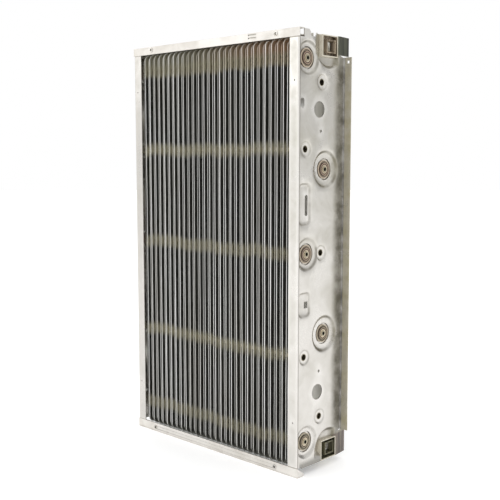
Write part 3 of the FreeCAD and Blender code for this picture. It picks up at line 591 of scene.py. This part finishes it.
MATERIALS = {
    "end_plate": sheet_metal("end_plate_metal", ALUMINIUM, STAINED, 0.30, marks_and_shade=end_plate_dirt_and_shade),
    "front_rail": sheet_metal("front_rail_metal", (0.80, 0.775, 0.735), (0.70, 0.67, 0.62),
                              0.52, streaks=(9, 1, 1)),
    "inner_sheet": sheet_metal("inner_sheet_metal", (0.68, 0.66, 0.61), STAINED, 0.40),
    "collector_plate": plate_metal(),
    "tie_tube": sheet_metal("tie_tube_metal", (0.50, 0.46, 0.35), (0.38, 0.34, 0.25),
                            0.35, streaks=(1, 9, 9)),
    "ring_insulator": ring_plastic(),
    "square_insulator": square_plastic(),
    "spring_steel": bright_steel("spring_steel", (0.68, 0.58, 0.44), (0.50, 0.42, 0.31), 0.35),
    "ionizer_wire": bright_steel("wire_steel", (0.55, 0.54, 0.52), (0.40, 0.38, 0.36)),
    "eyelet": bright_steel("eyelet_steel", (0.66, 0.64, 0.60), (0.48, 0.45, 0.40)),
}


# ---------------------------------------------------------------- end plates

# The blank is flat. On the web its depth is the real depth behind the front face. Before BEND
# it runs round into the front lip, and past FLANGE_START into the guide flange or a tab.
GAUGE = 1.0 * MM
BEND = 1.6 * MM
QUARTER_TURN = math.pi / 2
LIP_WIDTH = 14.0 * MM
LIP_LOW = 11.5 * MM
LIP_HIGH = 515.0 * MM
WEB_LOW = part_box("end_plate_right")[0].z
WEB_HIGH = 521.5 * MM
# The ear is the small tongue that stands up behind the top rail, between the lip and a notch.
EAR_FRONT = 9.5 * MM
EAR_REAR = 21 * MM
EAR_TOP = 524.5 * MM
EAR_CORNER = 3 * MM
NOTCH_REAR = 31 * MM
NOTCH_LOW = 517 * MM
FLANGE_FRONT = 82.7 * MM
FLANGE_LOW = 41.7 * MM
FLANGE_HIGH = 497.4 * MM
TAB_FRONT = 75.0 * MM
TAB_END = TAB_FRONT + 21.0 * MM
TAB_ANGLE = math.radians(8.0)
TAB_RELIEF = 2.0 * MM

LIP_START = BEND - BEND * QUARTER_TURN - (LIP_WIDTH - BEND)
FLANGE_START = FLANGE_FRONT - BEND
FLANGE_END = FLANGE_START + BEND * QUARTER_TURN + FLANGE_REACH - BEND


def fold(depth, height, sunk):
    """Where a point of the flat blank goes: distance inwards from the web's face, and depth."""
    if depth < BEND:
        angle = (BEND - depth) / BEND
        if angle <= QUARTER_TURN:
            return (BEND - BEND * math.cos(angle) + sunk, BEND - BEND * math.sin(angle))
        return (2 * BEND - BEND * QUARTER_TURN - depth, sunk)
    relief = TAB_RELIEF - 0.1 * MM
    tabbed = not FLANGE_LOW - relief < height < FLANGE_HIGH + relief
    if tabbed and depth > TAB_FRONT:
        beyond = depth - TAB_FRONT
        return (beyond * math.sin(TAB_ANGLE), TAB_FRONT + beyond * math.cos(TAB_ANGLE))
    if depth > FLANGE_START:
        angle = (depth - FLANGE_START) / BEND
        if angle <= QUARTER_TURN:
            return (-BEND + BEND * math.cos(angle), FLANGE_START + BEND * math.sin(angle))
        return (-BEND - (depth - FLANGE_START - BEND * QUARTER_TURN), FLANGE_FRONT)
    return (sunk, depth)


# A dish's wall runs past its rim and its floor by WALL_SPREAD. A seat is the raised ring in
# its middle that carries an insulator.
WALL_SPREAD = 0.7 * MM
WALL_LOOPS = 5
DEEP_DISH = 3 * MM
SEAT_RADIUS = 13.0 * MM
SEAT_STEP = 1.4 * MM
SEAT_WALL = 0.6 * MM


def smooth(share):
    share = min(1.0, max(0.0, share))
    return share * share * (3 - 2 * share)


class Dish:
    """A pressed hollow: a smooth wall runs down to a flat floor all round the rim.

    reach(depth, height) tells how far a point lies inside the rim, and contour(level) gives
    the loop of points that lie inside it by level.
    """

    def __init__(self, depth, reach, contour, seat=None):
        self.depth = depth
        self.reach = reach
        self.contour = contour
        self.seat = seat

    def share(self, depth, height):
        """How far down the wall a point lies: 0 on the web, 1 on the floor."""
        spread = WALL_SPREAD
        return smooth((self.reach(depth, height) + spread) / (self.depth + 2 * spread))

    def sunk(self, depth, height):
        """How far a point is pressed inwards."""
        share = self.share(depth, height)
        if self.seat is None:
            return self.depth * share
        step = smooth((SEAT_RADIUS - math.dist(self.seat, (depth, height))) / SEAT_WALL)
        return share * (self.depth - SEAT_STEP * (1 - step))

    def wall(self, depth, height):
        """A share that is 1 halfway down the wall of a deep dish and 0 away from it."""
        share = self.share(depth, height)
        return (4 * share * (1 - share)) ** 2 * min(1.0, self.depth / DEEP_DISH)

    def loops(self):
        """Loops of points along which the blank is cut up, so that it can bend there."""
        wall = self.depth + 2 * WALL_SPREAD
        made = [self.contour(-WALL_SPREAD + wall * k / WALL_LOOPS)
                for k in range(WALL_LOOPS + 1)]
        if self.seat is not None:
            front = min(point[0] for point in made[-1]) + 0.2 * MM
            for radius in (SEAT_RADIUS, SEAT_RADIUS - SEAT_WALL / 2, SEAT_RADIUS - SEAT_WALL):
                made.append(clip(circle_points(self.seat, radius, 72), front=front))
        return made


def clip(points, front=None, rear=None, floor=None):
    """Presses a loop's points against straight edges of the blank."""
    kept = []
    for depth, height in points:
        if front is not None:
            depth = max(depth, front)
        if rear is not None:
            depth = min(depth, rear)
        if floor is not None:
            height = max(height, floor)
        if not kept or math.dist(kept[-1], (depth, height)) > 0.05 * MM:
            kept.append((depth, height))
    return kept


def round_dish(centre, radius, depth, front=None, rear=None, floor=None, seated=False):
    """A round dish, cut off straight at front, rear or floor where it has them."""

    def reach(u, z):
        values = [radius - math.dist(centre, (u, z))]
        if front is not None:
            values.append(u - front)
        if rear is not None:
            values.append(rear - u)
        if floor is not None:
            values.append(z - floor)
        return min(values)

    def contour(level):
        return clip(circle_points(centre, radius - level),
                    None if front is None else front + level,
                    None if rear is None else rear - level,
                    None if floor is None else floor + level)

    return Dish(depth, reach, contour, centre if seated else None)


def box_dish(front, low, rear, high, corner, depth):
    """A dish with four straight sides and round corners."""

    def reach(u, z):
        across = max(front - u, u - rear) + corner
        up = max(low - z, z - high) + corner
        return corner - math.hypot(max(across, 0), max(up, 0)) - min(max(across, up), 0)

    def contour(level):
        return round_box_points(front + level, low + level, rear - level, high - level,
                                max(corner - level, 0.5 * MM))

    return Dish(depth, reach, contour)


# Dishes of the end plate: radius and depth. Those near the front end straight at DISH_FRONT.
DISH_FRONT = 2.2 * MM
FRONT_CHARGED_DISH = (20.5 * MM, 4.5 * MM)
REAR_CHARGED_DISH = (23.0 * MM, 4.5 * MM)
GROUND_DISH = (9.5 * MM, 1.5 * MM)
MOULDING_DISH = (27 * MM, 5 * MM)
MOULDING_DISH_REAR = TAB_FRONT - 1.5 * MM
MOULDING_DISH_FLOOR = 15.2 * MM
# The two dishes round the web's slots: low, high. They share the rest.
SLOT_DISHES = ((300 * MM, 350 * MM), (192 * MM, 222 * MM))
SLOT_DISH_REAR = 23.7 * MM
SLOT_DISH_CORNER = 6 * MM
SLOT_DISH_DEPTH = 2.5 * MM


def end_plate_dishes():
    made = []
    for name, place in CHARGED_SPOTS.items():
        if name.startswith("front"):
            made.append(round_dish(place, *FRONT_CHARGED_DISH, front=DISH_FRONT, seated=True))
        else:
            made.append(round_dish(place, *REAR_CHARGED_DISH, seated=True))
    for place in GROUND_SPOTS.values():
        made.append(round_dish(place, *GROUND_DISH))
    for low, high in SLOT_DISHES:
        made.append(box_dish(DISH_FRONT, low, SLOT_DISH_REAR, high,
                             SLOT_DISH_CORNER, SLOT_DISH_DEPTH))
    for name, floor in (("top", None), ("bottom", MOULDING_DISH_FLOOR)):
        made.append(round_dish(spot(f"ionizer_insulator_{name}_right"), *MOULDING_DISH,
                               rear=MOULDING_DISH_REAR, floor=floor))
    return made


# Round holes of which one lies above the middle and one as far below it:
# depth, rise from the middle, radius, steps.
LIP_MIDDLE = (LIP_START + BEND) / 2
DRAIN_HOLES = (37.1 * MM, 168.2 * MM, 9.5 * MM, 40)
PILOT_HOLES = (40.0 * MM, 143.2 * MM, 1.8 * MM, 20)
LIP_HOLES = (LIP_MIDDLE, 200.0 * MM, 0.9 * MM, 16)
# Slots: front, low, rear, high, and the corner radius of the round ones.
SHORT_SLOT = (3.3 * MM, 435.5 * MM, 10 * MM, 446.7 * MM, 3.2 * MM)
LONG_SLOT = (14.9 * MM, 311.3 * MM, 19.8 * MM, 335.7 * MM, 2.4 * MM)
SQUARE_SLOT = (14.6 * MM, 202.4 * MM, 20.9 * MM, 210.4 * MM)
# The small square hole near the top of the guide flange.
FLANGE_HOLE_INSET = 4.5 * MM
FLANGE_HOLE_WIDTH = 3.2 * MM
FLANGE_HOLE_LOW = 490.3 * MM
FLANGE_HOLE_HIGH = 493.5 * MM


def end_plate_holes():
    made = [circle_points(place, INSULATOR_HOLE) for place in CHARGED_SPOTS.values()]
    made += [circle_points(place, GROUND_FIT, 32) for place in GROUND_SPOTS.values()]
    for side in (1, -1):
        for depth, rise, radius, steps in (DRAIN_HOLES, PILOT_HOLES, LIP_HOLES):
            made.append(circle_points((depth, MID_HEIGHT + side * rise), radius, steps))
    made += [round_box_points(*SHORT_SLOT), round_box_points(*LONG_SLOT),
             box_points(*SQUARE_SLOT)]
    for name in ("top", "bottom"):
        low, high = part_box(f"ionizer_insulator_{name}_right")
        made.append(box_points(low.y - FRONT, low.z, high.y - FRONT, high.z))
    middle = FLANGE_END - FLANGE_HOLE_INSET
    made.append(box_points(middle - FLANGE_HOLE_WIDTH / 2, FLANGE_HOLE_LOW,
                           middle + FLANGE_HOLE_WIDTH / 2, FLANGE_HOLE_HIGH))
    return made


def end_plate_outline():
    """The blank's edge: up the rear with its two tabs and flange, and back down the lip."""
    return [
        (LIP_START, LIP_LOW), (8 * MM, LIP_LOW), (9 * MM, WEB_LOW), (TAB_END, WEB_LOW),
        (TAB_END, FLANGE_LOW - TAB_RELIEF), (TAB_FRONT, FLANGE_LOW - TAB_RELIEF),
        (FLANGE_START, FLANGE_LOW), (FLANGE_END, FLANGE_LOW),
        (FLANGE_END, FLANGE_HIGH), (FLANGE_START, FLANGE_HIGH),
        (TAB_FRONT, FLANGE_HIGH + TAB_RELIEF), (TAB_END, FLANGE_HIGH + TAB_RELIEF),
        (TAB_END, WEB_HIGH), (NOTCH_REAR, WEB_HIGH),
        (NOTCH_REAR, NOTCH_LOW), (EAR_REAR, NOTCH_LOW),
        (EAR_REAR, EAR_TOP - EAR_CORNER), (EAR_REAR - EAR_CORNER, EAR_TOP),
        (EAR_FRONT, EAR_TOP), (EAR_FRONT, LIP_HIGH), (LIP_START, LIP_HIGH),
    ]


BEND_STEPS = 4


def end_plate_lines():
    """Upright lines of the blank along its bends."""
    turn = [BEND * QUARTER_TURN * k / BEND_STEPS for k in range(BEND_STEPS + 1)]
    depths = [BEND - along for along in turn] + [FLANGE_START + along for along in turn]
    depths.append(TAB_FRONT)
    return [[(depth, WEB_LOW - 1 * MM), (depth, WEB_HIGH + 4 * MM)] for depth in depths]


def filler_points(dishes, spacing=6.5 * MM):
    """Staggered points that keep the triangles of the plain web small, away from the dishes."""
    made = []
    for row in range(int((WEB_HIGH - WEB_LOW) / spacing)):
        for column in range(int((FLANGE_END - LIP_START) / spacing)):
            shift = spacing / 2 if row % 2 else 0
            point = (LIP_START + spacing * (column + 0.3) + shift, WEB_LOW + spacing * (row + 0.5))
            if all(abs(dish.reach(*point) - dish.depth / 2) > dish.depth for dish in dishes):
                made.append(point)
    return made


# The web ripples a little. In noise places, plain numbers are scales for a metre, and offsets
# that keep the noises apart.
RIPPLE = 0.28 * MM
RIPPLE_FADE = 9 * MM


def end_plate(side):
    """The stamped sheet on one side of the cell; side is 1 for the right one."""
    dishes = end_plate_dishes()
    loops = [loop for dish in dishes for loop in dish.loops()]
    blank, faces = triangulate(end_plate_outline(), end_plate_holes(), loops,
                               end_plate_lines(), filler_points(dishes))

    def pressed(depth, height):
        """How strongly a point lies on the wall of a dish, for the painted shade there."""
        shares = [dish.wall(depth, height) for dish in dishes]
        return max(shares) if BEND < depth < TAB_FRONT else 0.0

    def place(depth, height):
        """Where a point of the blank ends up in the row frame."""
        sunk = 0.0
        if BEND < depth < TAB_FRONT:
            sunk = max(dish.sunk(depth, height) for dish in dishes)
            fade = min(1.0, (depth - BEND) / RIPPLE_FADE, (TAB_FRONT - depth) / RIPPLE_FADE)
            ripple = noise.noise(Vector((depth * 28, height * 17, 3.7 + side)))
            sunk += RIPPLE * (ripple + 0.45) * max(fade, 0.0)
        inwards, back = fold(depth, height, sunk)
        return Vector((side * (WEB_FACE - inwards), FRONT + back, height))

    step = 0.05 * MM
    outer_points = []
    inner_points = []
    for depth, height in blank:
        here = place(depth, height)
        along = place(depth + step, height) - place(depth - step, height)
        up = place(depth, height + step) - place(depth, height - step)
        outwards = along.cross(up).normalized() * side
        outer_points.append(here)
        inner_points.append(here - outwards * GAUGE)
    bm = bmesh.new()
    add_sheet(bm, outer_points, inner_points, faces)
    piece = finish_mesh(bm, "end_plate_sheet_" + ("right" if side > 0 else "left"),
                        sharp_angle=32)
    store(piece, "pressed", [pressed(depth, height) for depth, height in blank] * 2)
    return piece


# ---------------------------------------------------------------- plates

HALF_GAUGE = 0.4 * MM
# The hem: distance from the front edge, and half the thickness there.
HEM_PROFILE = [(0.0, 0.30 * MM), (0.15 * MM, 0.46 * MM), (0.45 * MM, 0.52 * MM),
               (0.9 * MM, 0.50 * MM), (1.3 * MM, HALF_GAUGE)]
HEM_END = HEM_PROFILE[-2][0]
PLATE_CORNER = 8.0 * MM
CORNER_STEPS = 8
BEVEL_RUN = 18.0 * MM
BEVEL_RISE = 32.0 * MM
# Plates are cut into rows and at two depths, so that they can bow.
BOW_ROWS = 44
BOW_DEPTHS = (14 * MM, 34 * MM)
BOW = 0.5 * MM
HELD_REACH = 30 * MM


def half_gauge(inwards):
    """Half the sheet's thickness at a distance from its front edge, swollen in the hem."""
    for (start, thin), (end, thick) in zip(HEM_PROFILE, HEM_PROFILE[1:]):
        if inwards < end:
            return thin + (thick - thin) * (inwards - start) / (end - start)
    return HALF_GAUGE


def plate_stack(node, count, held, held_radius, missed, missed_radius, edge_highlight):
    """A node's plates, with rolled hems along the front, bowing a little between the tubes."""
    low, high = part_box(node)
    front = low.y - FRONT
    rear = high.y - FRONT
    base, top = low.z, high.z
    pitch = (high.x - low.x - 2 * HALF_GAUGE) / (count - 1)

    def edge(level):
        """The front edge and its two round corners, moved in by level."""
        radius = PLATE_CORNER - level
        line = []
        for centre_height, start in ((base + PLATE_CORNER, 270), (top - PLATE_CORNER, 180)):
            for k in range(CORNER_STEPS + 1):
                angle = math.radians(start - 90 * k / CORNER_STEPS)
                line.append((front + PLATE_CORNER + radius * math.cos(angle),
                             centre_height + radius * math.sin(angle)))
        return line

    def from_edge(depth, height):
        """How far a point lies inside the front edge or its round corners."""
        lean = max(base + PLATE_CORNER - height, height - (top - PLATE_CORNER), 0.0)
        ahead = front + PLATE_CORNER - depth
        if ahead <= 0:
            return PLATE_CORNER
        if lean > 0:
            return max(PLATE_CORNER - math.hypot(ahead, lean), 0.0)
        return depth - front

    outline = edge(0) + [
        (rear - BEVEL_RUN, top), (rear, top - BEVEL_RISE),
        (rear, base + BEVEL_RISE), (rear - BEVEL_RUN, base),
    ]
    holes = [circle_points(place, held_radius, 20) for place in held.values()]
    holes += [circle_points(place, missed_radius, 24) for place in missed.values()]
    lines = [edge(level) for level, _ in HEM_PROFILE[1:]]
    lines += [[(front - 1 * MM, base + (top - base) * k / BOW_ROWS),
               (rear + 1 * MM, base + (top - base) * k / BOW_ROWS)]
              for k in range(1, BOW_ROWS)]
    lines += [[(front + depth, base), (front + depth, top)] for depth in BOW_DEPTHS]
    blank, faces = triangulate(outline, holes, (), lines)
    reach = [from_edge(depth, height) for depth, height in blank]
    swell = [half_gauge(inwards) for inwards in reach]
    hemmed = [inwards < HEM_END + 0.01 * MM for inwards in reach]

    def shift(depth, height, seed):
        """How far a plate leans sideways at a point: least near the tubes that hold it."""
        near = min(abs(height - fixing) for _, fixing in held.values())
        free = 1 - math.exp(-(near / HELD_REACH) ** 2)
        forward = 1 - (depth - front) / (rear - front)
        bow = noise.noise(Vector((seed, height * 13, 0.3)))
        bow += 0.2 * noise.noise(Vector((seed, height * 37, 5.1)))
        lean = noise.noise(Vector((seed, 9.4, height * 4))) * forward
        return (bow * free + lean) * BOW * (0.45 + 0.55 * forward)

    bm = bmesh.new()
    hem = []
    for index in range(count):
        x = low.x + HALF_GAUGE + pitch * index
        seed = index * 7.31 + 17 * edge_highlight
        # How pale each plate's hem is painted: a painted highlight that differs from plate to
        # plate.
        hem_highlight = edge_highlight * (0.86 + 0.5 * noise.noise(Vector((seed, 2.3, 8.8))))
        tint = [hem_highlight * (0.9 + 0.35 * noise.noise(Vector((seed, height * 9, 4.4)))) if rolled
                else 0.0 for rolled, (_, height) in zip(hemmed, blank)]
        # The stack's two outermost faces are painted pale all over like hems, as painted light.
        outermost = [max(share, edge_highlight) for share in tint]
        hem += outermost if index == count - 1 else tint
        hem += outermost if index == 0 else tint
        middles = [x + shift(depth, height, seed) for depth, height in blank]
        right, left = [[(middle + way * half, FRONT + depth, height)
                        for middle, half, (depth, height) in zip(middles, swell, blank)]
                       for way in (1, -1)]
        add_sheet(bm, right, left, faces)
    piece = finish_mesh(bm, node.removesuffix("s") + "_stack", sharp_angle=50)
    store(piece, "hem", hem)
    return piece


# ---------------------------------------------------------------- CAD nodes that stay

SLOTS = {part["node"]: part["material_slot"] for part in frame["record"]["subparts"]}
SOFT_EDGE = 0.3 * MM


def dress(node):
    """Gives a CAD node the material of its slot."""
    item = nodes[node]
    item.data.materials.clear()
    item.data.materials.append(MATERIALS[SLOTS[node]])


def soften(node):
    """Rounds a CAD node's sharp edges a little."""
    item = nodes[node]
    weld = item.modifiers.new("weld", "WELD")
    weld.merge_threshold = 0.002 * MM
    bevel = item.modifiers.new("soft_edges", "BEVEL")
    bevel.width = SOFT_EDGE
    bevel.segments = 2
    bevel.limit_method = "ANGLE"
    bevel.angle_limit = math.radians(40)
    bevel.harden_normals = True


# ---------------------------------------------------------------- stage

FLOOR_RADIUS = 9.0


def build_stage():
    bm = bmesh.new()
    bmesh.ops.create_circle(bm, cap_ends=True, segments=64, radius=FLOOR_RADIUS)
    mesh = bpy.data.meshes.new("floor")
    bm.to_mesh(mesh)
    bm.free()
    mesh.materials.append(floor_paper())
    floor = link("floor", mesh)


def softbox(name, place, target, size, power):
    """A rectangular lamp at place that faces target."""
    data = bpy.data.lights.new(name, "AREA")
    data.shape = "RECTANGLE"
    data.size, data.size_y = size
    data.energy = power
    light = link(name, data)
    light.location = place
    light.rotation_euler = (Vector(target) - Vector(place)).to_track_quat("-Z", "Y").to_euler()


# The opening is straight behind the object. OPENING_EDGE is the cosine of the angle from its
# middle where the tent's glow begins to fall, and the one where it has fallen.
OPENING = (0.22, 0.97, 0.05)
OPENING_EDGE = (0.84, 0.97)
TENT_GLOW = 0.95
OPENING_GLOW = 0.30


def build_world():
    """Plain white to the camera, and to everything else a pale tent with a darker opening."""
    world = bpy.data.worlds.new("studio")
    bpy.context.scene.world = world
    world.use_nodes = True
    tree = world.node_tree
    tree.nodes.clear()
    place = tree.nodes.new("ShaderNodeTexCoord")
    towards = tree.nodes.new("ShaderNodeVectorMath")
    towards.operation = "DOT_PRODUCT"
    towards.inputs[1].default_value = OPENING
    opening = tree.nodes.new("ShaderNodeMapRange")
    opening.interpolation_type = "SMOOTHSTEP"
    set_range(opening, *OPENING_EDGE, TENT_GLOW, OPENING_GLOW)
    seen = tree.nodes.new("ShaderNodeLightPath")
    strength = tree.nodes.new("ShaderNodeMix")
    strength.inputs["B"].default_value = 1.0
    background = tree.nodes.new("ShaderNodeBackground")
    background.inputs["Color"].default_value = (1.0, 1.0, 1.0, 1.0)
    output = tree.nodes.new("ShaderNodeOutputWorld")
    tree.links.new(place.outputs["Generated"], towards.inputs[0])
    tree.links.new(towards.outputs["Value"], opening.inputs["Value"])
    tree.links.new(opening.outputs["Result"], strength.inputs["A"])
    tree.links.new(seen.outputs["Is Camera Ray"], strength.inputs["Factor"])
    tree.links.new(strength.outputs["Result"], background.inputs["Strength"])
    tree.links.new(background.outputs["Background"], output.inputs["Surface"])


# The photo's view, from in front of the cell's right edge.
CAMERA_PLACE = (0.7801, -0.7934, 0.3792)
CAMERA_TILT = math.radians(83.80)
CAMERA_TURN = math.radians(43.59)
LENS = 61.4
SENSOR = 36.0


def build_camera():
    data = bpy.data.cameras.new("camera")
    data.lens = LENS
    data.sensor_width = SENSOR
    camera = link("camera", data)
    camera.location = CAMERA_PLACE
    camera.rotation_euler = (CAMERA_TILT, 0, CAMERA_TURN)
    bpy.context.scene.camera = camera


# ---------------------------------------------------------------- the cell

for node in sorted(nodes):
    dress(node)
for side, word in ((1, "right"), (-1, "left")):
    stand_for(end_plate(side), "end_plate", f"end_plate_{word}")
stand_for(plate_stack("ground_plates", 28, held=GROUND_SPOTS, held_radius=GROUND_FIT,
                      missed=CHARGED_SPOTS, missed_radius=CHARGED_CLEARANCE, edge_highlight=1.0),
          "collector_plate", "ground_plates")
stand_for(plate_stack("charged_plates", 29, held=CHARGED_SPOTS, held_radius=CHARGED_FIT,
                      missed=GROUND_SPOTS, missed_radius=GROUND_CLEARANCE, edge_highlight=0.65),
          "collector_plate", "charged_plates")
for node in ("top_rail", "bottom_rail"):
    soften(node)

build_stage()
build_world()
softbox("key", place=(-1.9, -1.9, 1.5), target=(0, 0, 0.27), size=(1.6, 1.8), power=9)
softbox("overhead", place=(0.2, -0.2, 2.3), target=(0, 0, 0.3), size=(1.8, 1.8), power=8)
build_camera()
bpy.context.scene.view_settings.view_transform = "Standard"
